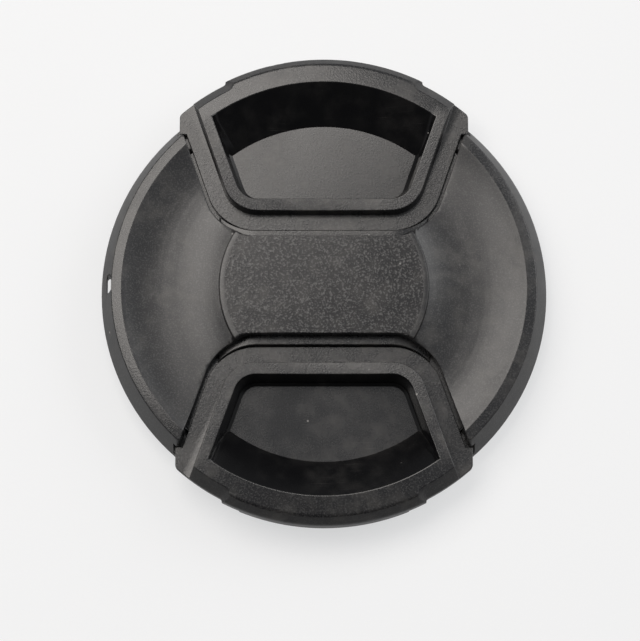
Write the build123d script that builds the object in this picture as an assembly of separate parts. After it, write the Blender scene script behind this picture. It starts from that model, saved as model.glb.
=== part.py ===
"""Clip-on camera lens cap with a centre pinch grip.

A round moulded shell carries two finger tabs that slide towards each other under the raised centre
disc. Each tab ends in a ridged jaw that grips the filter thread of a lens. Two coil springs push the
tabs apart, and a staked back plate closes the mechanism.

Millimetres. Z is the cap's axis, with the front face up, and Z = 0 is the free edge of the rear ring,
on which the cap lies. The tabs slide along Y.
"""
from math import cos, radians, sin, sqrt, tan
import os

from build123d import *

# Filter thread that the cap clips into
thread_diameter = 67.0
thread_pitch = 0.75
thread_depth = 0.4

# Front shell
rim_overhang = 1.8
seat_height = 3.2
rim_side_run = 1.95
crease_height = 7.55
rim_slope_run = 1.6
crest_height = 7.9
dish_depth = 1.5
disc_foot_radius = 16.5
disc_top_radius = 15.55
disc_height = 8.6
disc_edge_bevel = 0.2
disc_edge_lean = 68.0
shell_wall = 1.3
ceiling_flat_half_width = 3.0
pilot_wall = 1.5
pilot_thread_gap = 0.5
pilot_lead_in = 0.4
rim_edge_bevel = 0.2
rim_end_setback = 1.0
rim_end_slope = 25.0

# Leash slot through the left side of the rim
leash_slot_length = 2.9
leash_slot_width = 0.85
leash_slot_offset = 0.45
leash_slot_y = 0.6

# Finger recess and the frame and border around it
recess_bar_y = 14.0
recess_bar_half_width = 13.1
recess_corner_radius = 3.6
recess_draft = 10.0
recess_foot_bevel = 0.4
leg_angle = 19.2
frame_width = 2.05
frame_draft = 7.0
border_width = 2.6
ear_half_angle = 41.77
ear_length = 3.18
ear_corner_radius = 1.1

# Tab heights
recess_floor_height = 3.3
floor_thickness = 1.0
border_height = 5.6
frame_bar_height = 7.4
tab_crest_height = 8.25
flange_top_gap = 0.3

# Tab arcs, drawn about a point on the tab's own side of the cap's axis
tab_arc_y = 2.65
tab_overhang = -0.3
ear_setback = 0.4
tab_top_edge_inset = 1.3
tab_top_edge_height = 7.85
tab_shoulder_height = 6.3
tab_shoulder_rounding = 1.0
rim_band_width = 3.1
scoop_width = 6.05

# Bevelled outer corners of the tab rim
facet_floor_height = 5.9
facet_slope = 39.5
facet_inner_x = 15.8
facet_corner_radius = 0.6

# Lip and jaw below the tab rim
tab_bottom_gap = 0.2
rim_bottom_height = 4.4
lip_half_width = 13.2
jaw_half_width = 11.5
jaw_thickness = 1.5
jaw_lowest = 0.4
jaw_preload = 0.25
core_wall = 1.3

# Sliding fits
tab_travel = 1.15
travel_end_gap = 0.45
disc_edge_y = 8.3
slide_gap = 0.3
window_gap = 0.4
flange_overlap = 1.6
flange_thickness = 1.5
tongue_half_width = 9.0
tongue_end_y = 4.6

# Springs and the arms that load them
spring_x = 20.5
spring_clearance = 0.25
spring_wire_radius = 0.15
spring_turns = 5
spring_wire_sides = 4
spring_seat_y = 7.2
spring_end_gap = 0.05
peg_side_gap = 0.25
peg_length = 2.5
arm_side_inset = 0.05
arm_root_y = 18.5
rib_thickness = 0.8
rib_half_length = 8.5
rib_side_gap = 0.25

# Back plate and the stakes that hold it
plate_thickness = 1.0
plate_inset = 1.1
plate_edge_gap = 0.15
stake_inset = 3.8
stake_y = 4.5
stake_radius = 1.2
stake_hole_gap = 0.05
stake_shoulder_radius = 1.8
stake_head_radius = 1.9
stake_head_height = 0.5

# Values that follow from the ones above
shell_radius = thread_diameter / 2 + rim_overhang
crease_radius = shell_radius - rim_side_run
crest_radius = crease_radius - rim_slope_run
leash_slot_radius = crease_radius + leash_slot_offset
beyond = 2.0 * shell_radius
pilot_radius = thread_diameter / 2 - thread_depth - pilot_thread_gap
cavity_radius = pilot_radius - pilot_wall
plate_top = plate_inset + plate_thickness
floor_bottom = recess_floor_height - floor_thickness
tab_bottom = seat_height + tab_bottom_gap
dish_middle_radius = (crest_radius + disc_foot_radius) / 2
dish_half_width = (crest_radius - disc_foot_radius) / 2
dish_curve_radius = (dish_half_width**2 + dish_depth**2) / (2 * dish_depth)
dish_bottom = crest_height - dish_depth
dish_centre_height = dish_bottom + dish_curve_radius
ceiling_lowest = dish_bottom - shell_wall
flange_top = ceiling_lowest - flange_top_gap
flange_bottom = flange_top - flange_thickness
flange_limit_radius = cavity_radius - slide_gap
tab_outer_radius = shell_radius + tab_overhang
ear_radius = tab_outer_radius - ear_setback
ear_half_width = ear_radius * sin(radians(ear_half_angle))
ear_end_y = tab_arc_y + ear_radius * cos(radians(ear_half_angle))
ear_inner_y = ear_end_y - ear_length
rim_end_y = ear_inner_y - rim_end_setback
stake_x = cavity_radius - stake_inset
spring_height = (plate_top + ceiling_lowest) / 2
spring_outer_radius = (ceiling_lowest - plate_top) / 2 - spring_clearance
spring_mean_radius = spring_outer_radius - spring_wire_radius
peg_radius = spring_mean_radius - spring_wire_radius - peg_side_gap
arm_width = 2 * (spring_outer_radius - arm_side_inset)
tab_top_edge_radius = tab_outer_radius - tab_top_edge_inset
recess_rim_radius = tab_top_edge_radius - rim_band_width
recess_floor_radius = recess_rim_radius - scoop_width
recess_depth = tab_crest_height - recess_floor_height
border_grow = frame_width + border_width
opening_shift = tab_travel + travel_end_gap


def dish_height_at(radius):
    """Height of the dished wings at a distance from the cap's axis."""
    return dish_centre_height - sqrt(dish_curve_radius**2 - (radius - dish_middle_radius) ** 2)


def corner_of(face, x, y):
    """The vertex of a flat profile that lies nearest to a point."""
    return face.vertices().sort_by_distance((x, y, 0))[0]


def turned(profile, centre_y=0.0):
    """Solid of revolution of a profile drawn as radius and height, about an upright axis."""
    return Pos(0, centre_y, 0) * revolve(Plane.XZ * profile, Axis.Z)


def slab(outline, low, high):
    """Flat outline raised from one height to another."""
    return extrude(Pos(0, 0, low) * outline, high - low, dir=(0, 0, 1))


def block(x_low, x_high, y_low, y_high, z_low, z_high):
    """Box between two corners."""
    box = Box(x_high - x_low, y_high - y_low, z_high - z_low)
    return Pos((x_low + x_high) / 2, (y_low + y_high) / 2, (z_low + z_high) / 2) * box


def grip_outline(grow, leg_shift=0.0, bar_shift=0.0):
    """Outline of the finger recess, grown outwards all round, its legs and its bar moved along Y.

    A straight bar towards the cap's centre, rounded corners, and two legs that spread past the rim.
    """
    angle = radians(leg_angle)
    bar_y = recess_bar_y - grow + bar_shift
    corner_x = recess_bar_half_width + grow * (1 - sin(angle)) / cos(angle)
    corner_x += (bar_shift - leg_shift) * tan(angle)
    leg_x = corner_x + (beyond - bar_y) * tan(angle)
    points = [(-leg_x, beyond), (-corner_x, bar_y), (corner_x, bar_y), (leg_x, beyond)]
    outline = make_face(Polyline(*points, close=True))
    bar_corners = outline.vertices().sort_by(Axis.Y)[:2]
    return fillet(bar_corners, recess_corner_radius + grow)


def both_ways(shape):
    """A shape at the upper tab and the same shape turned round to the lower tab."""
    return [shape, Rot(0, 0, 180) * shape]


def shell_body():
    """Turned shell: raised disc, dished wings, sloping rim, drafted side and rear ring."""
    ceiling_height = disc_height - shell_wall
    lines = [
        Polyline((0, disc_height), (disc_top_radius, disc_height), (disc_foot_radius, crest_height)),
        ThreePointArc(
            (disc_foot_radius, crest_height),
            (dish_middle_radius, dish_bottom),
            (crest_radius, crest_height),
        ),
        Polyline(
            (crest_radius, crest_height),
            (crease_radius, crease_height),
            (shell_radius, seat_height),
            (pilot_radius, seat_height),
            (pilot_radius, 0),
            (cavity_radius, 0),
            (cavity_radius, dish_height_at(cavity_radius) - shell_wall),
            (dish_middle_radius + ceiling_flat_half_width, ceiling_lowest),
            (dish_middle_radius - ceiling_flat_half_width, ceiling_lowest),
            (disc_top_radius - shell_wall, ceiling_height),
            (0, ceiling_height),
            (0, disc_height),
        ),
    ]
    profile = make_face(Curve() + lines)
    profile = chamfer(corner_of(profile, shell_radius, seat_height), rim_edge_bevel)
    profile = chamfer(corner_of(profile, pilot_radius, 0), pilot_lead_in)
    return turned(profile)


def tab_opening():
    """What the shell leaves open for a tab: the grip's outline, swept over its travel, and the ears.

    The ears slide over a ledge of the rim and under its slanted ends.
    """
    outline = grip_outline(border_grow, -opening_shift, disc_edge_y + border_grow - recess_bar_y)
    ear_side = ear_half_width + slide_gap
    ledge_side = lip_half_width + window_gap
    ledge_top = rim_bottom_height - slide_gap
    undercut_top = border_height + slide_gap
    opening = slab(outline, tab_bottom - slide_gap, beyond)
    ledge = slab(Circle(beyond) - Circle(cavity_radius), 0, ledge_top)
    opening -= ledge - block(-ledge_side, ledge_side, 0, beyond, 0, ledge_top)
    slant = tan(radians(rim_end_slope))
    low_end = (rim_end_y + (crest_height - ledge_top) * slant, ledge_top)
    high_end = (rim_end_y - (disc_height - crest_height) * slant, disc_height)
    corners = [low_end, (beyond, ledge_top), (beyond, disc_height), high_end]
    past_ends = make_face(Polyline(*corners, close=True))
    ears = extrude(Plane.YZ * past_ends, beyond, both=True)
    ears += block(-ear_side, ear_side, ear_inner_y - opening_shift, beyond, ledge_top, undercut_top)
    bevel_outline = Pos(0, 0, disc_height - disc_edge_bevel) * outline
    bevel = extrude(bevel_outline, 2 * disc_edge_bevel, dir=(0, 0, 1), taper=-disc_edge_lean)
    window_side = jaw_half_width + window_gap
    window = block(-window_side, window_side, cavity_radius / 2, beyond, -1, tab_bottom)
    window -= Cylinder(cavity_radius - pilot_wall, beyond)
    return opening + ears + bevel + window


def leash_slot():
    """Slot through the rim for a leash."""
    outline = Rot(0, 0, 90) * SlotOverall(leash_slot_length, leash_slot_width)
    return Pos(-leash_slot_radius, leash_slot_y) * slab(outline, 0, disc_height)


def spring_channel(side):
    """Two ribs under a wing that guide the tabs' arms and keep the spring in line."""
    inner = arm_width / 2 + rib_side_gap
    ribs = []
    for near, far in ((-inner - rib_thickness, -inner), (inner, inner + rib_thickness)):
        x_low, x_high = side * spring_x + near, side * spring_x + far
        rib_bottom = plate_top + slide_gap
        ribs.append(block(x_low, x_high, -rib_half_length, rib_half_length, rib_bottom, dish_bottom))
    return ribs


def stake(side_x, side_y):
    """Shouldered post that passes through the back plate and is headed over behind it."""
    upwards = (Align.CENTER, Align.CENTER, Align.MIN)
    downwards = (Align.CENTER, Align.CENTER, Align.MAX)
    post = Pos(0, 0, plate_top) * Cylinder(stake_shoulder_radius, dish_bottom - plate_top, align=upwards)
    post += Pos(0, 0, plate_inset) * Cylinder(stake_radius, plate_thickness, align=upwards)
    post += Pos(0, 0, plate_inset) * Cylinder(stake_head_radius, stake_head_height, align=downwards)
    return Pos(side_x * stake_x, side_y * stake_y, 0) * post


def front_shell():
    """The moulded front shell with its openings, slot, ribs and stakes."""
    body = shell_body()
    body -= both_ways(tab_opening())
    body -= leash_slot()
    for side in (-1, 1):
        body += spring_channel(side)
        body += [stake(side, end) for end in (-1, 1)]
    return body


def tab_envelope():
    """Turned form that the tab's frame and rim are cut from."""
    bar_radius = recess_bar_y - frame_width - tab_arc_y
    profile = make_face(
        Polyline(
            (0, tab_bottom),
            (tab_outer_radius, tab_bottom),
            (tab_outer_radius, tab_shoulder_height),
            (tab_top_edge_radius, tab_top_edge_height),
            (recess_rim_radius, tab_crest_height),
            (bar_radius, frame_bar_height),
            (0, frame_bar_height),
            close=True,
        )
    )
    profile = fillet(corner_of(profile, tab_outer_radius, tab_shoulder_height), tab_shoulder_rounding)
    profile = fillet(corner_of(profile, tab_top_edge_radius, tab_top_edge_height), tab_shoulder_rounding)
    return turned(profile, tab_arc_y)


def scoop():
    """Finger recess: a flat floor, drafted walls with a bevelled foot, and a slope up to the tab's rim."""
    above = 2 * tab_crest_height
    cone_foot = recess_floor_radius - recess_floor_height * scoop_width / recess_depth
    brim = (recess_rim_radius, tab_crest_height)
    points = [(0, 0), (cone_foot, 0), brim, (recess_rim_radius, above), (0, above)]
    bowl = turned(make_face(Polyline(*points, close=True)), tab_arc_y)
    mouth = Pos(0, 0, tab_crest_height) * grip_outline(0)
    walls = extrude(mouth, recess_depth, dir=(0, 0, -1), taper=recess_draft)
    foot_edges = walls.faces().sort_by(Axis.Z)[0].edges().sort_by(Axis.Y)[:-1]
    walls = chamfer(foot_edges, recess_foot_bevel)
    walls += slab(grip_outline(0), tab_crest_height, above)
    return bowl & walls


def corner_facet():
    """Sloping bevel that takes off an outer corner of the tab's rim, run out in a curve."""
    inner = Circle(ear_radius)
    side = Pos(facet_inner_x, 0) * Rectangle(beyond, beyond, align=(Align.MIN, Align.MIN))
    outline = side - inner
    corner_y = sqrt(ear_radius**2 - facet_inner_x**2)
    outline = fillet(corner_of(outline, facet_inner_x, corner_y), facet_corner_radius)
    cutter = extrude(outline, tab_crest_height, dir=(0, 0, 1), taper=-facet_slope)
    cutter += slab(outline, -facet_floor_height, 0)
    return Pos(0, tab_arc_y, facet_floor_height) * cutter


def border_outline():
    """Outline of the border round the grip, with its ears and the outer arc."""
    ears = Pos(0, ear_inner_y) * Rectangle(2 * ear_half_width, beyond, align=(Align.CENTER, Align.MIN))
    outline = (grip_outline(border_grow) + ears) & Rectangle(2 * ear_half_width, 2 * beyond)
    outline &= Pos(0, tab_arc_y) * Circle(ear_radius)
    ends = [corner_of(outline, side * ear_half_width, ear_end_y) for side in (-1, 1)]
    return fillet(ends, ear_corner_radius)


def jaw():
    """Ridged jaw that grips the filter thread."""
    crest = thread_diameter / 2
    root = crest - thread_depth
    inner = root - jaw_thickness
    points = [(inner, tab_bottom + slide_gap), (inner, jaw_lowest), (root, jaw_lowest)]
    ridges = int((seat_height - jaw_lowest) / thread_pitch)
    for ridge in range(ridges):
        base = jaw_lowest + ridge * thread_pitch
        points += [(crest, base + thread_pitch / 2), (root, base + thread_pitch)]
    points.append((root, tab_bottom + slide_gap))
    ring = turned(make_face(Polyline(*points, close=True)), jaw_preload)
    return ring & block(-jaw_half_width, jaw_half_width, 0, beyond, 0, disc_height)


def spring_arm(side):
    """Arm that reaches under the wing to a spring, with the peg that holds the spring's end."""
    x_low, x_high = side * spring_x - arm_width / 2, side * spring_x + arm_width / 2
    arm = block(x_low, x_high, spring_seat_y, arm_root_y, plate_top + slide_gap, flange_top)
    peg = Cylinder(peg_radius, peg_length, align=(Align.CENTER, Align.CENTER, Align.MIN))
    return arm + Pos(side * spring_x, spring_seat_y, spring_height) * Rot(90, 0, 0) * peg


def tab_cores():
    """Hollows under the rim that keep the tab's walls even."""
    jaw_inner = thread_diameter / 2 - thread_depth - jaw_thickness + jaw_preload - tab_arc_y
    foot = recess_floor_radius + core_wall
    near, far = recess_rim_radius + core_wall, tab_outer_radius - core_wall
    top = tab_shoulder_height - core_wall
    inner_core = Polyline((foot, 0), (jaw_inner, 0), (jaw_inner, top), close=True)
    outer_core = Polyline((near, 0), (far, 0), (far, top), (near, top), close=True)
    rings = [turned(make_face(core), tab_arc_y) for core in (inner_core, outer_core)]
    reach = slab(grip_outline(-core_wall), 0, disc_height)
    return [ring & reach for ring in rings]


def pinch_tab():
    """One finger tab, at the upper side of the cap."""
    inside = Cylinder(flange_limit_radius, beyond)
    outline = grip_outline(frame_width)
    frame = extrude(Pos(0, 0, border_height) * outline, disc_height, dir=(0, 0, 1), taper=frame_draft)
    frame += slab(outline, rim_bottom_height, border_height)
    lip = block(-lip_half_width, lip_half_width, recess_rim_radius, beyond, tab_bottom, rim_bottom_height)
    border = slab(border_outline(), rim_bottom_height, border_height)
    lower_border = slab(grip_outline(border_grow), tab_bottom, rim_bottom_height)
    border += lower_border & inside
    flange = slab(grip_outline(border_grow + flange_overlap), flange_bottom, flange_top)
    flange += block(
        -tongue_half_width, tongue_half_width, tongue_end_y, recess_bar_y, flange_bottom, flange_top
    )
    floor = slab(outline, floor_bottom, flange_top)
    tab = ((frame + lip) & tab_envelope()) + border + ((flange + floor) & inside)
    tab -= scoop()
    tab -= corner_facet()
    tab -= mirror(corner_facet(), Plane.YZ)
    tab -= tab_cores()
    tab += jaw()
    for side in (-1, 1):
        tab += spring_arm(side)
    return tab


def coil_spring(side):
    """Compression spring between the arms of the two tabs, along Y."""
    length = 2 * (spring_seat_y - spring_wire_radius - spring_end_gap)
    path = Helix(length / spring_turns, length, spring_mean_radius)
    section = Plane(path @ 0, z_dir=path % 0) * RegularPolygon(spring_wire_radius, spring_wire_sides)
    coil = sweep(section, path=path, is_frenet=True)
    return Pos(side * spring_x, length / 2, spring_height) * Rot(90, 0, 0) * coil


def back_plate():
    """Disc that closes the mechanism, with room for the jaws and holes for the stakes."""
    plate = Cylinder(
        cavity_radius - plate_edge_gap, plate_thickness, align=(Align.CENTER, Align.CENTER, Align.MIN)
    )
    plate = Pos(0, 0, plate_inset) * plate
    jaw_inner = thread_diameter / 2 - thread_depth - jaw_thickness
    window_side = jaw_half_width + window_gap
    notch = block(-window_side, window_side, 0, beyond, 0, disc_height)
    notch -= Pos(0, jaw_preload - tab_travel, 0) * Cylinder(jaw_inner - window_gap, beyond)
    plate -= both_ways(notch)
    hole = Cylinder(stake_radius + stake_hole_gap, beyond)
    for side in (-1, 1):
        plate -= [Pos(side * stake_x, end * stake_y, 0) * hole for end in (-1, 1)]
    return plate


os.makedirs("parts", exist_ok=True)
tab = pinch_tab()
export_step(front_shell(), "parts/front_shell.step")
export_step(tab, "parts/upper_pinch_tab.step")
export_step(Rot(0, 0, 180) * tab, "parts/lower_pinch_tab.step")
export_step(coil_spring(-1), "parts/left_spring.step")
export_step(coil_spring(1), "parts/right_spring.step")
export_step(back_plate(), "parts/back_plate.step")
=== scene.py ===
"""Looks of a clip-on camera lens cap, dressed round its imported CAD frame.

The file is laid out as an add-on and run as a script. Each operator makes one piece or group of like
pieces, and the last one makes the studio. Lengths are metres, in the frame of the CAD model: the cap
lies on Z = 0 with its front face up, and the finger tabs slide along Y.
"""

import math

import bmesh
import bpy
from bpy.props import FloatProperty, FloatVectorProperty, IntProperty, PointerProperty
from mathutils import Matrix, Vector


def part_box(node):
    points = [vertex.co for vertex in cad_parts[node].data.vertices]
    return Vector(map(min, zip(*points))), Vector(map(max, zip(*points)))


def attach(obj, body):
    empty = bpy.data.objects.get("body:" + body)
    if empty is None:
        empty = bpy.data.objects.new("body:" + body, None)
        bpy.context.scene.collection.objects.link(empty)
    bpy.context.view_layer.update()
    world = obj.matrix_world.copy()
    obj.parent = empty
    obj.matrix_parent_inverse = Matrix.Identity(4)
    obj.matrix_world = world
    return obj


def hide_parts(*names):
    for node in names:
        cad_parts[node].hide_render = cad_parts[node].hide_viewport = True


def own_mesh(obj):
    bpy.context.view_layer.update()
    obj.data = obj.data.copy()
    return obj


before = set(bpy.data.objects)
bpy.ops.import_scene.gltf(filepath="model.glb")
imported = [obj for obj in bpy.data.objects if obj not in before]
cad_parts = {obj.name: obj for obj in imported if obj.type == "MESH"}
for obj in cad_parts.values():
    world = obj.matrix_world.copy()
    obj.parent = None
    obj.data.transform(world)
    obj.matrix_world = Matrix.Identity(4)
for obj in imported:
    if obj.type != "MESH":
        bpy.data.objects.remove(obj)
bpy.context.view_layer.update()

bl_info = {
    "name": "Lens Cap Looks",
    "version": (1, 0, 0),
    "blender": (4, 5, 0),
    "location": "View3D > Sidebar > Lens Cap",
    "description": "Dresses the packed lens cap with finished mouldings, springs and a studio",
    "category": "Object",
}

DISC_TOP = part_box("front_shell")[1].z

# How close is the same place, and which faces and edges count as thin, flat or sharp
MERGE_DISTANCE = 1e-6
LEVEL_TOLERANCE = 0.00005
RADIUS_TOLERANCE = 0.00006
SLIVER_HEIGHT = 0.00004
FLAT_ANGLE = math.radians(0.4)
EDGE_ANGLE = math.radians(28)

# Upward part of a face's normal, by which the finishes are told apart
FLOOR_NORMAL = 0.99
SCOOP_NORMALS = (0.05, 0.97)
DISC_NORMAL = 0.9
WALL_NORMAL = 0.8
WING_NORMAL = 0.5

# Angle, length and width of the scuffs that run each way
SCUFFS = ((0.6, 0.010, 0.00022), (-1.1, 0.007, 0.00018))

# Spacing of a wave texture's rings at a scale of 1
WAVE_SPACING = 0.314

# Width in millimetres of the sensor that the camera's focal length is for
SENSOR_WIDTH = 36.0


class LensCapShapeSettings(bpy.types.PropertyGroup):
    """Sizes of the finished pieces."""

    edge_rounding: FloatProperty(
        name="Edge rounding",
        description="Width of the rounding on the mouldings' edges",
        default=0.00014, min=0.0, unit="LENGTH",
    )
    edge_segments: IntProperty(
        name="Edge segments",
        description="Facets across each rounded edge",
        default=2, min=1, max=4,
    )
    recess_floor: FloatProperty(
        name="Recess floor height",
        description="Height of the finger recesses' floors above the rear edge",
        default=0.0033, unit="LENGTH",
    )
    recess_middle: FloatProperty(
        name="Recess middle",
        description="Distance of the finger recesses' middles from the cap's middle",
        default=0.021, unit="LENGTH",
    )
    wing_margin: FloatProperty(
        name="Wing margin",
        description="Width inside the wings' inner radius that has their finish",
        default=0.001, unit="LENGTH",
    )
    wing_inner_radius: FloatProperty(
        name="Wing inner radius",
        description="Radius at which the dished wings meet the raised disc",
        default=0.0165, unit="LENGTH",
    )
    wing_outer_radius: FloatProperty(
        name="Wing outer radius",
        description="Radius at which the dished wings meet the rim",
        default=0.0317, unit="LENGTH",
    )
    band_inner_radius: FloatProperty(
        name="Band inner radius",
        description="Radius at which the raised disc's grain ends",
        default=0.01555, unit="LENGTH",
    )
    band_outer_radius: FloatProperty(
        name="Band outer radius",
        description="Radius at which the smooth band round the disc steps down to the wings",
        default=0.01638, unit="LENGTH",
    )
    band_outer_height: FloatProperty(
        name="Band outer height",
        description="Height of the smooth band's outer edge",
        default=0.00846, unit="LENGTH",
    )
    disc_edge: FloatProperty(
        name="Disc edge",
        description="Distance of the raised disc's straight edges from the middle",
        default=0.00785, unit="LENGTH",
    )
    disc_edge_straight: FloatProperty(
        name="Disc edge straight",
        description="Half length of the raised disc's straight edges before they turn",
        default=0.0110, unit="LENGTH",
    )
    disc_edge_end: FloatProperty(
        name="Disc edge end",
        description="Distance from the middle at which the disc's edges have run into the wings",
        default=0.0145, unit="LENGTH",
    )
    disc_edge_slope: FloatProperty(
        name="Disc edge slope",
        description="Width of the slope outside the disc's straight edges, which is stood upright",
        default=0.0016, unit="LENGTH",
    )
    front_level: FloatProperty(
        name="Front level",
        description="Height above which the shell's surfaces belong to its front",
        default=0.006, unit="LENGTH",
    )
    tongue_top: FloatProperty(
        name="Tongue height",
        description="Height of the tabs' tongues in the gap beside the disc",
        default=0.00645, unit="LENGTH",
    )
    tongue_end: FloatProperty(
        name="Tongue end height",
        description="Height to which the tongues fall round their corners, under the wings",
        default=0.00530, unit="LENGTH",
    )
    tongue_root: FloatProperty(
        name="Tongue root height",
        description="Height of the tongues' undersides, inside the tabs' flanges",
        default=0.00470, unit="LENGTH",
    )
    tongue_edge: FloatProperty(
        name="Tongue edge",
        description="Distance from the middle at which the tongues meet the tabs' borders",
        default=0.00922, unit="LENGTH",
    )
    tongue_straight: FloatProperty(
        name="Tongue straight",
        description="Half length of the tongues' straight edges before their corners",
        default=0.01054, unit="LENGTH",
    )
    tongue_corner: FloatProperty(
        name="Tongue corner radius",
        description="Radius of the tongues' corners",
        default=0.00840, unit="LENGTH",
    )
    tongue_turn: FloatProperty(
        name="Tongue corner turn",
        description="Angle through which the tongues follow the borders' corners",
        default=math.radians(46), subtype="ANGLE", unit="ROTATION",
    )
    tongue_width: FloatProperty(
        name="Tongue width",
        description="Width of the tongues, most of it under the disc",
        default=0.0023, unit="LENGTH",
    )
    wall_radius: FloatProperty(
        name="Wall radius",
        description="Radius outside which the upright walls are the cap's dull outer side",
        default=0.0325, unit="LENGTH",
    )
    spring_wire_radius: FloatProperty(
        name="Spring wire radius",
        description="Radius of the spring wire",
        default=0.00015, min=0.00005, unit="LENGTH",
    )
    spring_turns: IntProperty(
        name="Half spring turns",
        description="Open turns in each half of a spring",
        default=3, min=1, max=8,
    )
    spring_closed_rise: FloatProperty(
        name="Spring end rise",
        description="Rise of the closed turn at a spring's end, a little over the wire's thickness",
        default=0.00033, unit="LENGTH",
    )
    spring_squeeze: FloatProperty(
        name="Spring squeeze",
        description="Share of a half spring's length left when its tab is pressed right in",
        default=0.835, min=0.1, max=1.0, subtype="FACTOR",
    )


class LensCapFinishSettings(bpy.types.PropertyGroup):
    """Colours and grain of the plastics and the wire."""

    plastic: FloatVectorProperty(
        name="Plastic",
        description="Base colour of the black moulding plastic",
        subtype="COLOR", size=3, default=(0.0110, 0.0110, 0.0120), min=0.0, max=1.0,
    )
    # Worn colour: real handling marks and scuffs, and also a painted highlight along the edges.
    worn_and_sheen_plastic: FloatVectorProperty(
        name="Worn plastic",
        description="Colour of the plastic where handling has dulled it",
        subtype="COLOR", size=3, default=(0.042, 0.040, 0.038), min=0.0, max=1.0,
    )
    # Darker base on the glossy scoops: partly the polished finish's deeper black, partly painted shade in
    # the recesses.
    polished_and_shaded_plastic: FloatVectorProperty(
        name="Glossy plastic",
        description="Base colour of the plastic where the mould was polished",
        subtype="COLOR", size=3, default=(0.0035, 0.0035, 0.0040), min=0.0, max=1.0,
    )
    # Painted glints: colour put on the grain's tops in place of the light they catch.
    grain_glint: FloatVectorProperty(
        name="Grains",
        description="Colour of the light grains in the spark-eroded texture",
        subtype="COLOR", size=3, default=(0.085, 0.084, 0.083), min=0.0, max=1.0,
    )
    dust: FloatVectorProperty(
        name="Dust",
        description="Colour of the dust specks caught in the grain",
        subtype="COLOR", size=3, default=(0.28, 0.27, 0.26), min=0.0, max=1.0,
    )
    wire: FloatVectorProperty(
        name="Spring wire",
        description="Colour of the drawn spring wire",
        subtype="COLOR", size=3, default=(0.55, 0.55, 0.56), min=0.0, max=1.0,
    )
    disc_grain: FloatProperty(
        name="Disc grain size",
        description="Size of the spark-eroded grain on the raised disc",
        default=0.00030, min=0.00005, unit="LENGTH",
    )
    matt_grain: FloatProperty(
        name="Matt grain size",
        description="Size of the fine grain on the borders and rims",
        default=0.00026, min=0.00005, unit="LENGTH",
    )
    satin_grain: FloatProperty(
        name="Satin grain size",
        description="Size of the very fine grain on the wings and recess floors",
        default=0.00024, min=0.00005, unit="LENGTH",
    )
    cloud_size: FloatProperty(
        name="Cloud size",
        description="Size of the cloudy patches that handling leaves",
        default=0.009, min=0.0005, unit="LENGTH",
    )
    blotch_size: FloatProperty(
        name="Blotch size",
        description="Size of the blotches within the cloudy patches",
        default=0.0022, min=0.0002, unit="LENGTH",
    )
    scuff_tone: FloatProperty(
        name="Scuff tone",
        description="Share of the worn colour on the scuffs",
        default=0.5, min=0.0, max=1.0, subtype="FACTOR",
    )
    # Edge mask width: real polish in the roughness, and a painted highlight in the colour.
    wear_and_sheen_width: FloatProperty(
        name="Wear width",
        description="Width of the polished wear along the edges",
        default=0.00035, min=0.0, unit="LENGTH",
    )
    # Share of the worn colour on the edges, which is partly real wear and partly painted highlight.
    edge_wear_and_sheen_tone: FloatProperty(
        name="Wear tone",
        description="Share of the worn colour on the edges",
        default=0.5, min=0.0, max=1.0, subtype="FACTOR",
    )
    wear_polish: FloatProperty(
        name="Wear polish",
        description="Roughness that wear takes off the edges",
        default=0.08, min=0.0, max=1.0, subtype="FACTOR",
    )
    roughness_spread: FloatProperty(
        name="Roughness spread",
        description="Roughness by which the cloudy patches differ from the middle, either way",
        default=0.04, min=0.0, max=1.0, subtype="FACTOR",
    )
    dust_spacing: FloatProperty(
        name="Dust spacing",
        description="Spacing of the places where a dust speck may lie",
        default=0.0024, min=0.0005, unit="LENGTH",
    )
    dust_share: FloatProperty(
        name="Dust share",
        description="Share of those places that have a speck",
        default=0.10, min=0.0, max=1.0, subtype="FACTOR",
    )
    ring_spacing: FloatProperty(
        name="Ring spacing",
        description="Spacing of the faint turned rings on the wings",
        default=0.0011, min=0.0001, unit="LENGTH",
    )
    plastic_index: FloatProperty(
        name="Plastic index",
        description="Refractive index of the moulding plastic",
        default=1.54, min=1.0, max=3.0,
    )


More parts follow.
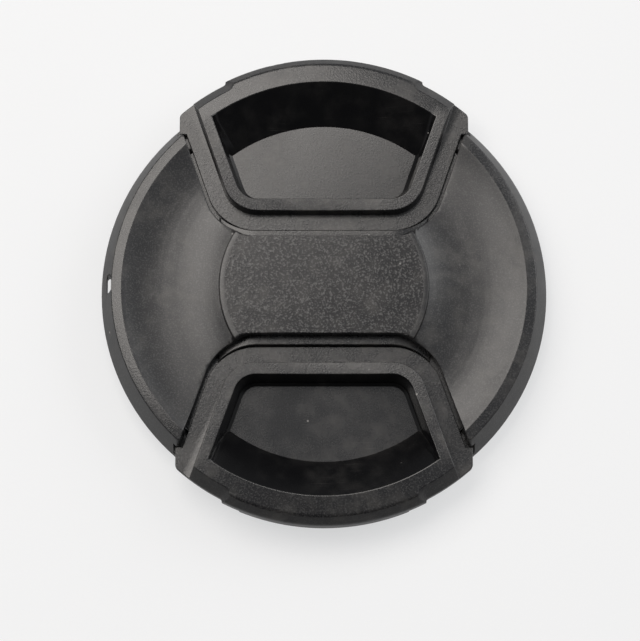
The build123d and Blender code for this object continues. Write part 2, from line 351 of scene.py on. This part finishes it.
class LensCapStudioSettings(bpy.types.PropertyGroup):
    """Paper, light and camera."""

    paper: FloatVectorProperty(
        name="Paper",
        description="Colour of the paper under the cap",
        subtype="COLOR", size=3, default=(0.86, 0.86, 0.865), min=0.0, max=1.0,
    )
    paper_white: FloatVectorProperty(
        name="Paper white",
        description="Colour that the paper keeps by itself, which thins its shadows",
        subtype="COLOR", size=3, default=(0.925, 0.93, 0.935), min=0.0, max=1.0,
    )
    paper_keep: FloatProperty(
        name="Paper keep",
        description="Share of its own white that the paper shows to the camera and to gloss",
        default=0.65, min=0.0, max=1.0, subtype="FACTOR",
    )
    paper_size: FloatProperty(
        name="Paper size", description="Width of the paper", default=12.0, unit="LENGTH",
    )
    key_place: FloatVectorProperty(
        name="Key light place",
        description="Centre of the soft key light at the upper left",
        subtype="XYZ", size=3, default=(-0.20, 0.23, 0.517), unit="LENGTH",
    )
    key_size: FloatVectorProperty(
        name="Key light size",
        description="Width of the soft key light, and its depth towards the zenith",
        size=2, default=(0.534, 0.383), unit="LENGTH",
    )
    key_power: FloatProperty(
        name="Key light power", description="Power of the soft key light in watts", default=2.75, min=0.0,
    )
    key_colour: FloatVectorProperty(
        name="Key light colour",
        description="Colour of the soft key light",
        subtype="COLOR", size=3, default=(1.0, 0.95, 0.90), min=0.0, max=1.0,
    )
    side_place: FloatVectorProperty(
        name="Side light place",
        description="Centre of the wide soft light at the upper right",
        subtype="XYZ", size=3, default=(0.675, 0.39, 0.45), unit="LENGTH",
    )
    side_size: FloatVectorProperty(
        name="Side light size",
        description="Width of the wide soft light, and its depth towards the zenith",
        size=2, default=(0.70, 0.50), unit="LENGTH",
    )
    side_power: FloatProperty(
        name="Side light power", description="Power of the wide soft light in watts", default=3.2, min=0.0,
    )
    room_colour: FloatVectorProperty(
        name="Room light",
        description="Colour of the light from the room",
        subtype="COLOR", size=3, default=(0.95, 0.97, 1.0), min=0.0, max=1.0,
    )
    room_level: FloatProperty(
        name="Room level", description="Level of the room overhead", default=0.48, min=0.0,
    )
    room_shade: FloatProperty(
        name="Room shade",
        description="Share of the level that is left at the horizon and behind the camera",
        default=0.12, min=0.0, max=1.0, subtype="FACTOR",
    )
    room_dark_angle: FloatProperty(
        name="Room dark angle",
        description="Angle from the camera's direction within which the room is dark",
        default=math.radians(3), subtype="ANGLE", unit="ROTATION",
    )
    room_clear_angle: FloatProperty(
        name="Room clear angle",
        description="Angle from the camera's direction outside which the room has its full level",
        default=math.radians(17), subtype="ANGLE", unit="ROTATION",
    )
    room_overhead: FloatProperty(
        name="Room overhead",
        description="Upward part of a direction at which the room has its full level",
        default=0.7, min=0.0, max=1.0,
    )
    room_near_span: FloatVectorProperty(
        name="Room near span",
        description="Y part of a direction where the room behind the camera is dark, and where it is clear",
        size=2, default=(-0.55, -0.15), min=-1.0, max=1.0,
    )
    camera_place: FloatVectorProperty(
        name="Camera place",
        description="Where the camera stands",
        subtype="XYZ", size=3, default=(-0.00063, -0.08508, 0.36609), unit="LENGTH",
    )
    camera_tilt: FloatProperty(
        name="Camera tilt",
        description="Lean of the camera from straight down",
        default=math.radians(12.5), subtype="ANGLE", unit="ROTATION",
    )
    camera_lens: FloatProperty(
        name="Camera lens", description="Focal length in millimetres on a 36 mm sensor", default=132.4,
    )


def add_node(tree, kind, inputs=None, **settings):
    """A new shader node with its settings made and its sockets set or linked."""
    node = tree.nodes.new(kind)
    for name, value in settings.items():
        setattr(node, name, value)
    for name, value in (inputs or {}).items():
        socket = node.inputs[name]
        if isinstance(value, bpy.types.NodeSocket):
            tree.links.new(value, socket)
        else:
            socket.default_value = value
    return node


def maths(tree, operation, first, second=0.0):
    """Result socket of a Math node."""
    return add_node(tree, "ShaderNodeMath", {0: first, 1: second}, operation=operation).outputs[0]


def span(tree, value, low, high, to_low=0.0, to_high=1.0):
    """Result socket of a clamped Map Range node."""
    inputs = {"Value": value, "From Min": low, "From Max": high, "To Min": to_low, "To Max": to_high}
    return add_node(tree, "ShaderNodeMapRange", inputs, clamp=True).outputs["Result"]


def colour_mix(tree, share, first, second):
    """Colour between two colours, by a share that varies over the surface."""
    node = tree.nodes.new("ShaderNodeMixRGB")
    for name, value in (("Fac", share), ("Color1", first), ("Color2", second)):
        socket = node.inputs[name]
        if isinstance(value, bpy.types.NodeSocket):
            tree.links.new(value, socket)
        elif name == "Fac":
            socket.default_value = value
        else:
            socket.default_value = (*value, 1.0)
    return node.outputs["Color"]


def noise(tree, place, size, detail=2.0, roughness=0.5):
    """Noise value whose blotches are about one size."""
    inputs = {"Vector": place, "Scale": 1.0 / size, "Detail": detail, "Roughness": roughness}
    return add_node(tree, "ShaderNodeTexNoise", inputs).outputs["Fac"]


def new_material(name):
    """An empty node material, its tree and its shader."""
    material = bpy.data.materials.new(name)
    material.use_nodes = True
    tree = material.node_tree
    shader = tree.nodes["Principled BSDF"]
    return material, tree, shader


def dust_specks(tree, place, spacing, share):
    """Mask of small specks, one in some cells of a lattice."""
    cells = add_node(tree, "ShaderNodeTexVoronoi", {"Vector": place, "Scale": 1.0 / spacing})
    near = span(tree, cells.outputs["Distance"], low=0.03, high=0.09, to_low=1.0, to_high=0.0)
    draw = add_node(tree, "ShaderNodeSeparateColor", {"Color": cells.outputs["Color"]}).outputs["Red"]
    chosen = span(tree, draw, low=1.0 - share, high=1.02 - share)
    return maths(tree, "MULTIPLY", near, chosen)


def scuff_lines(tree, place, angle, length, width):
    """Mask of faint straight scuffs that run one way."""
    inputs = {"Vector": place, "Rotation": (0, 0, angle), "Scale": (1 / length, 1 / width, 1 / length)}
    stretched = add_node(tree, "ShaderNodeMapping", inputs).outputs["Vector"]
    lines = add_node(tree, "ShaderNodeTexNoise", {"Vector": stretched, "Scale": 1.0, "Detail": 1.0})
    return span(tree, lines.outputs["Fac"], low=0.70, high=0.80)


def wear_and_sheen_edges(tree, radius):
    """Mask of the surface close to an edge, where handling polishes the plastic and a painted highlight
    lightens it.
    """
    rounded = add_node(tree, "ShaderNodeBevel", {"Radius": radius}, samples=4).outputs["Normal"]
    plain = add_node(tree, "ShaderNodeNewGeometry").outputs["Normal"]
    inputs = {0: rounded, 1: plain}
    agreement = add_node(tree, "ShaderNodeVectorMath", inputs, operation="DOT_PRODUCT").outputs["Value"]
    return span(tree, agreement, low=0.995, high=0.90)


def worn_and_sheen_share(tree, finish, place, cloud, blotch, edge_wear_and_sheen, marks):
    """Share of the handled colour: cloudy handling marks, scuffs, and edges that are partly real wear and
    partly painted highlight.
    """
    scuffs = maths(tree, "MAXIMUM", *(scuff_lines(tree, place, *scuff) for scuff in SCUFFS))
    scuffs = maths(tree, "MULTIPLY", scuffs, span(tree, cloud, low=0.5, high=0.62))
    clouded = span(tree, cloud, low=0.42, high=0.66)
    handling = maths(tree, "MULTIPLY", clouded, span(tree, blotch, low=0.38, high=0.66))
    share = maths(tree, "MULTIPLY", handling, marks)
    share = maths(tree, "ADD", share, maths(tree, "MULTIPLY", edge_wear_and_sheen, finish.edge_wear_and_sheen_tone))
    share = maths(tree, "ADD", share, maths(tree, "MULTIPLY", scuffs, finish.scuff_tone))
    return maths(tree, "MINIMUM", share, 1.0)


def grained_normal(tree, finish, place, grain, grain_depth, ring_depth):
    """Normal of a grained surface, with faint turned rings where they have a depth."""
    inputs = {"Height": grain, "Distance": grain_depth, "Strength": 1.0}
    normal = add_node(tree, "ShaderNodeBump", inputs).outputs["Normal"]
    if ring_depth:
        inputs = {
            "Vector": place, "Scale": WAVE_SPACING / finish.ring_spacing,
            "Distortion": 1.2, "Detail": 2.0, "Detail Scale": 300.0,
        }
        rings = add_node(tree, "ShaderNodeTexWave", inputs, wave_type="RINGS", rings_direction="Z")
        inputs = {"Height": rings.outputs["Fac"], "Distance": ring_depth, "Strength": 1.0, "Normal": normal}
        normal = add_node(tree, "ShaderNodeBump", inputs).outputs["Normal"]
    return normal


def moulded_plastic(
    name, finish, base, grain_size, *, grain_depth, roughness,
    grain_glint_tone=0.0, ring_depth=0.0, shine=0.5, marks=0.9,
):
    """Black moulded plastic: grain with painted glints on its tops, cloudy handling marks, scuffs, dust,
    and edges that are partly real wear and partly painted highlight.
    """
    material, tree, shader = new_material(name)
    place = add_node(tree, "ShaderNodeTexCoord").outputs["Object"]
    cloud = noise(tree, place, finish.cloud_size, detail=3.0, roughness=0.6)
    blotch = noise(tree, place, finish.blotch_size, detail=2.0, roughness=0.55)
    grain = noise(tree, place, grain_size, detail=1.0, roughness=0.6)
    patchy = span(tree, blotch, low=0.35, high=0.65, to_low=0.25, to_high=1.0)
    # Edge mask: it polishes the roughness, and in the colour it is partly real wear and partly a painted
    # edge highlight.
    edge_wear_and_sheen = maths(tree, "MULTIPLY", wear_and_sheen_edges(tree, finish.wear_and_sheen_width), patchy)
    worn_and_sheen = worn_and_sheen_share(tree, finish, place, cloud, blotch, edge_wear_and_sheen, marks)
    # Colour mix with the handling marks, scuffs and painted edge highlight.
    colour = colour_mix(tree, worn_and_sheen, base, finish.worn_and_sheen_plastic)
    # Painted glints: the grain's tops lightened towards the glint colour.
    painted_grain_glints = maths(tree, "MULTIPLY", span(tree, grain, low=0.50, high=0.68), grain_glint_tone)
    colour = colour_mix(tree, painted_grain_glints, colour, finish.grain_glint)
    specks = dust_specks(tree, place, finish.dust_spacing, finish.dust_share)
    colour = colour_mix(tree, specks, colour, finish.dust)
    smoothest = roughness - finish.roughness_spread
    roughest = roughness + finish.roughness_spread
    dulled = span(tree, cloud, low=0.35, high=0.65, to_low=smoothest, to_high=roughest)
    dulled = maths(tree, "SUBTRACT", dulled, maths(tree, "MULTIPLY", edge_wear_and_sheen, finish.wear_polish))
    normal = grained_normal(tree, finish, place, grain, grain_depth, ring_depth)
    tree.links.new(colour, shader.inputs["Base Color"])
    tree.links.new(dulled, shader.inputs["Roughness"])
    tree.links.new(normal, shader.inputs["Normal"])
    shader.inputs["IOR"].default_value = finish.plastic_index
    shader.inputs["Specular IOR Level"].default_value = shine
    return material


def drawn_wire(finish):
    """Drawn steel wire with fine lines and dull patches."""
    material, tree, shader = new_material("drawn_wire")
    place = add_node(tree, "ShaderNodeTexCoord").outputs["Object"]
    patches = noise(tree, place, size=0.0015, detail=3.0, roughness=0.6)
    lines = noise(tree, place, size=0.00008, detail=1.0, roughness=0.5)
    dull = tuple(0.6 * part for part in finish.wire)
    colour = colour_mix(tree, span(tree, patches, low=0.4, high=0.7), finish.wire, dull)
    dulled = span(tree, patches, low=0.3, high=0.7, to_low=0.22, to_high=0.42)
    relief = add_node(tree, "ShaderNodeBump", {"Height": lines, "Distance": 0.000004}).outputs["Normal"]
    tree.links.new(colour, shader.inputs["Base Color"])
    tree.links.new(dulled, shader.inputs["Roughness"])
    tree.links.new(relief, shader.inputs["Normal"])
    shader.inputs["Metallic"].default_value = 1.0
    return material


def paper_sheet(studio):
    """Smooth pale paper with a faint tooth."""
    material, tree, shader = new_material("studio_paper")
    place = add_node(tree, "ShaderNodeTexCoord").outputs["Object"]
    tooth = noise(tree, place, size=0.0006, detail=3.0, roughness=0.6)
    cloud = noise(tree, place, size=0.05, detail=2.0, roughness=0.5)
    darker = tuple(0.985 * part for part in studio.paper)
    colour = colour_mix(tree, span(tree, cloud, low=0.35, high=0.65), studio.paper, darker)
    relief = add_node(tree, "ShaderNodeBump", {"Height": tooth, "Distance": 0.00002}).outputs["Normal"]
    tree.links.new(colour, shader.inputs["Base Color"])
    tree.links.new(relief, shader.inputs["Normal"])
    shader.inputs["Roughness"].default_value = 0.85
    shader.inputs["Specular IOR Level"].default_value = 0.2
    rays = add_node(tree, "ShaderNodeLightPath").outputs
    seen = maths(tree, "MAXIMUM", rays["Is Camera Ray"], rays["Is Glossy Ray"])
    seen = maths(tree, "MAXIMUM", seen, rays["Is Transmission Ray"])
    keep = maths(tree, "MULTIPLY", seen, studio.paper_keep)
    white = add_node(tree, "ShaderNodeEmission", {"Color": (*studio.paper_white, 1.0), "Strength": 1.0})
    inputs = {0: keep, 1: shader.outputs["BSDF"], 2: white.outputs["Emission"]}
    surface = add_node(tree, "ShaderNodeMixShader", inputs).outputs["Shader"]
    tree.links.new(surface, tree.nodes["Material Output"].inputs["Surface"])
    return material


def link_piece(name, mesh, body):
    """A finished mesh as a piece that rides on a body of the frame."""
    piece = bpy.data.objects.new(name, mesh)
    bpy.context.scene.collection.objects.link(piece)
    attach(piece, body)
    return piece


def is_sliver(face):
    """True for a face so thin that its normal says little."""
    longest = max(edge.calc_length() for edge in face.edges)
    return face.calc_area() / longest < SLIVER_HEIGHT


def mark_edges(bm):
    """Round a moulding's outward edges, crease its inward ones and leave the facets of its curves alone."""
    weight = bm.edges.layers.float.new("bevel_weight_edge")
    slivers = {face for face in bm.faces if is_sliver(face)}
    for edge in bm.edges:
        if len(edge.link_faces) == 2 and not slivers.intersection(edge.link_faces):
            bend = edge.calc_face_angle_signed()
            edge[weight] = float(bend > EDGE_ANGLE)
            edge.smooth = bend > -EDGE_ANGLE


def moulded_piece(bm, name, body, materials):
    """A moulding that rides on a body, from its finished faces, with its edges rounded."""
    shape = bpy.context.scene.lens_cap_shape
    for face in bm.faces:
        face.smooth = True
    mark_edges(bm)
    mesh = bpy.data.meshes.new(name)
    bm.to_mesh(mesh)
    bm.free()
    for material in materials:
        mesh.materials.append(material)
    piece = link_piece(name, mesh, body)
    rounding = piece.modifiers.new("Edge rounding", "BEVEL")
    rounding.limit_method = "WEIGHT"
    rounding.width = shape.edge_rounding
    rounding.segments = shape.edge_segments
    rounding.profile = 0.5
    rounding.material = -1
    rounding.use_clamp_overlap = False
    evening = piece.modifiers.new("Even shading", "WEIGHTED_NORMAL")
    evening.mode = "FACE_AREA_WITH_ANGLE"
    evening.keep_sharp = True
    return piece


def at_radius(vert, radius):
    """True for a vertex about that far from the cap's axis."""
    return abs(vert.co.xy.length - radius) < RADIUS_TOLERANCE


def step_round_disc(bm, shape):
    """Turn the slope round the raised disc into a gentle band and a small step."""
    slope = []
    for edge in bm.edges:
        upper, lower = sorted(edge.verts, key=lambda vert: -vert.co.z)
        if at_radius(upper, shape.band_inner_radius) and at_radius(lower, shape.wing_inner_radius):
            if upper.co.z > DISC_TOP - LEVEL_TOLERANCE:
                slope.append(edge)
    cut = bmesh.ops.subdivide_edges(bm, edges=slope, cuts=1)["geom_inner"]
    for part in cut:
        if isinstance(part, bmesh.types.BMVert):
            part.co.xy = part.co.xy.normalized() * shape.band_outer_radius
            part.co.z = shape.band_outer_height


def stand_up_disc_edge(bm, shape):
    """Stand the raised disc's straight edges upright over the tongues, up to where they turn."""
    turn = shape.disc_edge_end - shape.disc_edge_straight
    for vert in bm.verts:
        across = abs(vert.co.x)
        beyond = abs(vert.co.y) - shape.disc_edge
        on_slope = across < shape.disc_edge_end and 0 < beyond < shape.disc_edge_slope
        if on_slope and vert.co.z > shape.front_level:
            share = min(max((across - shape.disc_edge_straight) / turn, 0.0), 1.0)
            kept = share * share * (3 - 2 * share)
            vert.co.y = math.copysign(shape.disc_edge + kept * beyond, vert.co.y)


def finish_disc(bm, shape):
    """Bring the raised disc's round and straight edges to their finished forms."""
    step_round_disc(bm, shape)
    stand_up_disc_edge(bm, shape)


def dressed_copy(node, name, body, materials, pick, reshape=None):
    """Copy of a CAD solid, merged, with finishes by face and its edges rounded, that stands for it."""
    shape = bpy.context.scene.lens_cap_shape
    bm = bmesh.new()
    bm.from_mesh(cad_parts[node].data)
    bmesh.ops.remove_doubles(bm, verts=bm.verts, dist=MERGE_DISTANCE)
    bmesh.ops.dissolve_degenerate(bm, edges=bm.edges, dist=MERGE_DISTANCE)
    bmesh.ops.dissolve_limit(bm, angle_limit=FLAT_ANGLE, verts=bm.verts, edges=bm.edges)
    if reshape:
        reshape(bm, shape)
        bm.normal_update()
    for face in bm.faces:
        face.material_index = pick(face)
    piece = moulded_piece(bm, name, body, materials)
    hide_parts(node)
    return piece


class LENSCAP_OT_front_shell(bpy.types.Operator):
    """Make the front shell with its grained disc, satin wings and matt rim"""

    bl_idname = "lenscap.front_shell"
    bl_label = "Front Shell"

    def execute(self, context):
        shape = context.scene.lens_cap_shape
        finish = context.scene.lens_cap_finish
        matt, satin, grained, wall = range(4)
        materials = [
            moulded_plastic(
                "shell_matt", finish, finish.plastic, finish.matt_grain,
                grain_depth=0.000016, roughness=0.25, grain_glint_tone=0.4,
            ),
            moulded_plastic(
                "shell_satin", finish, finish.plastic, finish.satin_grain,
                grain_depth=0.000008, roughness=0.34, grain_glint_tone=0.40, ring_depth=0.000003,
            ),
            moulded_plastic(
                "disc_grain", finish, finish.plastic, finish.disc_grain,
                grain_depth=0.00002, roughness=0.22, grain_glint_tone=1.0, shine=0.34,
            ),
            moulded_plastic(
                "shell_wall", finish, finish.plastic, finish.matt_grain,
                grain_depth=0.000016, roughness=0.48, grain_glint_tone=0.25, shine=0.42,
            ),
        ]

        def pick(face):
            centre = face.calc_center_median()
            radius = centre.xy.length
            if face.normal.z > DISC_NORMAL and centre.z > DISC_TOP - LEVEL_TOLERANCE:
                return grained
            on_wing = shape.wing_inner_radius - shape.wing_margin < radius < shape.wing_outer_radius
            if face.normal.z > WING_NORMAL and on_wing and centre.z > shape.front_level:
                return satin
            if radius > shape.wall_radius and face.normal.z < WALL_NORMAL:
                return wall
            return matt

        dressed_copy(
            "front_shell", "shell_moulding", "shell", materials, pick, finish_disc,
        )
        return {"FINISHED"}


class LENSCAP_OT_pinch_tabs(bpy.types.Operator):
    """Make both finger tabs with their matt frames, satin floors, glossy scoops and tongues"""

    bl_idname = "lenscap.pinch_tabs"
    bl_label = "Pinch Tabs"

    def execute(self, context):
        shape = context.scene.lens_cap_shape
        finish = context.scene.lens_cap_finish
        matt, satin, gloss, wall = range(4)
        materials = [
            moulded_plastic(
                "tab_matt", finish, finish.plastic, finish.matt_grain,
                grain_depth=0.000016, roughness=0.25, grain_glint_tone=0.4,
            ),
            moulded_plastic(
                "tab_satin", finish, finish.plastic, finish.satin_grain,
                grain_depth=0.000006, roughness=0.20, grain_glint_tone=0.10, marks=0.5,
            ),
            # Scoop walls in the recesses: their darker base is partly painted shade.
            moulded_plastic(
                "tab_gloss", finish, finish.polished_and_shaded_plastic, finish.satin_grain,
                grain_depth=0.000003, roughness=0.22, marks=0.2,
            ),
            moulded_plastic(
                "tab_wall", finish, finish.plastic, finish.matt_grain,
                grain_depth=0.000016, roughness=0.5, grain_glint_tone=0.25, shine=0.38,
            ),
        ]
        least, most = SCOOP_NORMALS
        for end, side in (("upper", 1), ("lower", -1)):
            middle = Vector((0, side * shape.recess_middle, 0))

            def pick(face):
                centre = face.calc_center_median()
                above_floor = centre.z - shape.recess_floor
                if face.normal.z > FLOOR_NORMAL and abs(above_floor) < LEVEL_TOLERANCE:
                    return satin
                inwards = (middle - centre).xy.dot(face.normal.xy)
                if above_floor > 0 and inwards > 0 and least < face.normal.z < most:
                    return gloss
                if centre.xy.length > shape.wall_radius and face.normal.z < WALL_NORMAL:
                    return wall
                return matt

            node = end + "_pinch_tab"
            dressed_copy(node, end + "_tab_moulding", end + "_tab", materials, pick)
            tongue = self.tongue(shape, side)
            moulded_piece(tongue, end + "_tab_tongue", end + "_tab", [materials[matt]])
        return {"FINISHED"}

    def tongue(self, shape, side):
        """Band along the inner edge of a tab's border, which slides in under the disc."""
        corner_steps = 12
        turn = shape.tongue_turn
        middle_y = shape.tongue_edge + shape.tongue_corner
        corner_width = shape.tongue_corner * math.sin(turn)
        fall = shape.tongue_top - shape.tongue_end
        bm = bmesh.new()
        start = (
            -shape.tongue_straight - corner_width,
            middle_y - shape.tongue_corner * math.cos(turn),
            shape.tongue_top,
        )
        tip = bmesh.ops.create_vert(bm, co=start)["vert"]
        for corner in (-1, 1):
            if corner == 1:
                tip = bmesh.ops.extrude_vert_indiv(bm, verts=tip)["verts"]
                bmesh.ops.translate(bm, verts=tip, vec=(2 * shape.tongue_straight, 0, 0))
            bent = bmesh.ops.spin(
                bm, geom=tip, cent=(corner * shape.tongue_straight, middle_y, shape.tongue_top),
                axis=(0, 0, 1), angle=turn, steps=corner_steps, use_merge=False, use_duplicate=False,
            )
            tip = [part for part in bent["geom_last"] if isinstance(part, bmesh.types.BMVert)]
        grown = bmesh.ops.extrude_edge_only(bm, edges=bm.edges)["geom"]
        inner = [part for part in grown if isinstance(part, bmesh.types.BMVert)]
        bmesh.ops.translate(bm, verts=inner, vec=(0, -shape.tongue_width, 0))
        for vert in bm.verts:
            share = max((abs(vert.co.x) - shape.tongue_straight) / corner_width, 0.0)
            vert.co.z -= share * share * fall
        grown = bmesh.ops.extrude_face_region(bm, geom=bm.faces)["geom"]
        for part in grown:
            if isinstance(part, bmesh.types.BMVert):
                part.co.z = shape.tongue_root
        if side < 0:
            bmesh.ops.rotate(bm, verts=bm.verts, cent=(0, 0, 0), matrix=Matrix.Rotation(math.pi, 3, "Z"))
        bmesh.ops.recalc_face_normals(bm, faces=bm.faces)
        return bm


class LENSCAP_OT_back_plate(bpy.types.Operator):
    """Make the back plate that closes the mechanism"""

    bl_idname = "lenscap.back_plate"
    bl_label = "Back Plate"

    def execute(self, context):
        finish = context.scene.lens_cap_finish
        matt = moulded_plastic(
            "plate_matt", finish, finish.plastic, finish.matt_grain,
            grain_depth=0.000025, roughness=0.5, grain_glint_tone=0.15,
        )
        dressed_copy("back_plate", "plate_moulding", "shell", [matt], lambda face: 0)
        return {"FINISHED"}


class LENSCAP_OT_springs(bpy.types.Operator):
    """Make the two coil springs, each as two halves wound from the middle to the ends"""

    bl_idname = "lenscap.springs"
    bl_label = "Springs"

    def execute(self, context):
        shape = context.scene.lens_cap_shape
        material = drawn_wire(context.scene.lens_cap_finish)
        for node in ("left_spring", "right_spring"):
            low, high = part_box(node)
            axis_point = (low + high) / 2
            reach = (high.y - low.y) / 2
            mean_radius = (high.x - low.x) / 2 - shape.spring_wire_radius
            for end, side in (("upper", 1), ("lower", -1)):
                bm = self.half_coil(shape, axis_point, mean_radius, reach, side)
                mesh = bpy.data.meshes.new(node + "_" + end + "_half")
                bm.to_mesh(mesh)
                bm.free()
                mesh.materials.append(material)
                piece = link_piece(mesh.name, mesh, "shell")
                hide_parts(node)
                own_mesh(piece)
        return {"FINISHED"}

    def half_coil(self, shape, axis_point, mean_radius, reach, side):
        """Round wire wound from the spring's middle to one end, with a closed end turn."""
        turn_steps = 24
        wire_sides = 8
        wire = shape.spring_wire_radius
        closed_rise = shape.spring_closed_rise
        open_rise = (reach - wire - closed_rise) / shape.spring_turns
        bm = bmesh.new()
        start = Matrix.Translation(axis_point + Vector((mean_radius, 0, 0)))
        section = bmesh.ops.create_circle(bm, segments=wire_sides, radius=wire, matrix=start)["verts"]
        loop = list({edge for vert in section for edge in vert.link_edges})
        first_loop = loop
        for turns, rise in ((shape.spring_turns, open_rise), (1, closed_rise)):
            wound = bmesh.ops.spin(
                bm, geom=loop, cent=axis_point, axis=(0, 1, 0), dvec=(0, side * rise / turn_steps, 0),
                angle=side * turns * math.tau, steps=turns * turn_steps,
                use_merge=False, use_duplicate=False,
            )
            loop = [part for part in wound["geom_last"] if isinstance(part, bmesh.types.BMEdge)]
        bmesh.ops.contextual_create(bm, geom=first_loop)
        bmesh.ops.contextual_create(bm, geom=loop)
        bmesh.ops.recalc_face_normals(bm, faces=bm.faces)
        for face in bm.faces:
            face.smooth = len(face.verts) == 4
        return bm


class LENSCAP_OT_studio(bpy.types.Operator):
    """Make the paper, the soft light, the room and the camera"""

    bl_idname = "lenscap.studio"
    bl_label = "Studio"

    def execute(self, context):
        scene = context.scene
        studio = scene.lens_cap_studio
        self.lay_paper(scene, studio)
        key = self.hang_light(scene, "key_light", studio.key_place, studio.key_size, studio.key_power)
        key.color = studio.key_colour
        self.hang_light(scene, "side_light", studio.side_place, studio.side_size, studio.side_power)
        self.fill_room(scene, studio)
        self.set_camera(scene, studio)
        scene.view_settings.view_transform = "Standard"
        return {"FINISHED"}

    def lay_paper(self, scene, studio):
        """Flat paper that the cap lies on."""
        bm = bmesh.new()
        bmesh.ops.create_grid(bm, x_segments=2, y_segments=2, size=studio.paper_size / 2)
        mesh = bpy.data.meshes.new("paper")
        bm.to_mesh(mesh)
        bm.free()
        mesh.materials.append(paper_sheet(studio))
        paper = bpy.data.objects.new("paper", mesh)
        scene.collection.objects.link(paper)

    def hang_light(self, scene, name, place, size, power):
        """Large soft light that looks at the cap."""
        light = bpy.data.lights.new(name, "AREA")
        light.shape = "RECTANGLE"
        light.size, light.size_y = size
        light.energy = power
        lamp = bpy.data.objects.new(name, light)
        lamp.location = place
        lamp.rotation_euler = (-Vector(place)).to_track_quat("-Z", "Y").to_euler()
        scene.collection.objects.link(lamp)
        return light

    def fill_room(self, scene, studio):
        """Light from the room, which is darker behind the camera and low down."""
        world = bpy.data.worlds.new("room")
        world.use_nodes = True
        tree = world.node_tree
        towards = add_node(tree, "ShaderNodeTexCoord").outputs["Generated"]
        inputs = {0: towards, 1: Vector(studio.camera_place).normalized()}
        nearness = add_node(tree, "ShaderNodeVectorMath", inputs, operation="DOT_PRODUCT").outputs["Value"]
        outside = math.cos(studio.room_clear_angle)
        inside = math.cos(studio.room_dark_angle)
        clear = span(tree, nearness, outside, inside, to_low=1.0, to_high=studio.room_shade)
        parts = add_node(tree, "ShaderNodeSeparateXYZ", {"Vector": towards}).outputs
        overhead = span(tree, parts["Z"], 0.0, studio.room_overhead, to_low=studio.room_shade)
        beyond = span(tree, parts["Y"], *studio.room_near_span, to_low=studio.room_shade)
        level = maths(tree, "MULTIPLY", maths(tree, "MULTIPLY", clear, overhead), beyond)
        level = maths(tree, "MULTIPLY", level, studio.room_level)
        room = tree.nodes["Background"]
        room.inputs["Color"].default_value = (*studio.room_colour, 1.0)
        tree.links.new(level, room.inputs["Strength"])
        scene.world = world

    def set_camera(self, scene, studio):
        """Camera that looks down at the cap from its near side."""
        data = bpy.data.cameras.new("camera")
        data.sensor_fit = "HORIZONTAL"
        data.sensor_width = SENSOR_WIDTH
        data.lens = studio.camera_lens
        data.clip_start = 0.01
        camera = bpy.data.objects.new("camera", data)
        camera.location = studio.camera_place
        camera.rotation_euler = (studio.camera_tilt, 0, 0)
        scene.collection.objects.link(camera)
        scene.camera = camera


class LENSCAP_PT_looks(bpy.types.Panel):
    """Sidebar list of the lens cap's settings and pieces"""

    bl_idname = "LENSCAP_PT_looks"
    bl_label = "Lens Cap"
    bl_space_type = "VIEW_3D"
    bl_region_type = "UI"
    bl_category = "Lens Cap"

    def draw(self, context):
        for title, group in SETTINGS:
            column = self.layout.column()
            column.label(text=title)
            settings = getattr(context.scene, group)
            for name in settings.__annotations__:
                column.prop(settings, name)
        for operator in OPERATORS:
            self.layout.operator(operator.bl_idname)


SETTINGS = (
    ("Shape", "lens_cap_shape"),
    ("Finish", "lens_cap_finish"),
    ("Studio", "lens_cap_studio"),
)
OPERATORS = (
    LENSCAP_OT_front_shell,
    LENSCAP_OT_pinch_tabs,
    LENSCAP_OT_back_plate,
    LENSCAP_OT_springs,
    LENSCAP_OT_studio,
)
CLASSES = (
    LensCapShapeSettings,
    LensCapFinishSettings,
    LensCapStudioSettings,
    *OPERATORS,
    LENSCAP_PT_looks,
)


def register():
    """Add the settings, operators and panel."""
    for cls in CLASSES:
        bpy.utils.register_class(cls)
    bpy.types.Scene.lens_cap_shape = PointerProperty(type=LensCapShapeSettings)
    bpy.types.Scene.lens_cap_finish = PointerProperty(type=LensCapFinishSettings)
    bpy.types.Scene.lens_cap_studio = PointerProperty(type=LensCapStudioSettings)


def unregister():
    """Take away the settings, operators and panel."""
    for _, group in SETTINGS:
        delattr(bpy.types.Scene, group)
    for cls in reversed(CLASSES):
        bpy.utils.unregister_class(cls)


def main():
    """Make every piece and the studio."""
    register()
    bpy.ops.lenscap.front_shell()
    bpy.ops.lenscap.pinch_tabs()
    bpy.ops.lenscap.back_plate()
    bpy.ops.lenscap.springs()
    bpy.ops.lenscap.studio()
    bpy.context.view_layer.update()


if __name__ == "__main__":
    main()
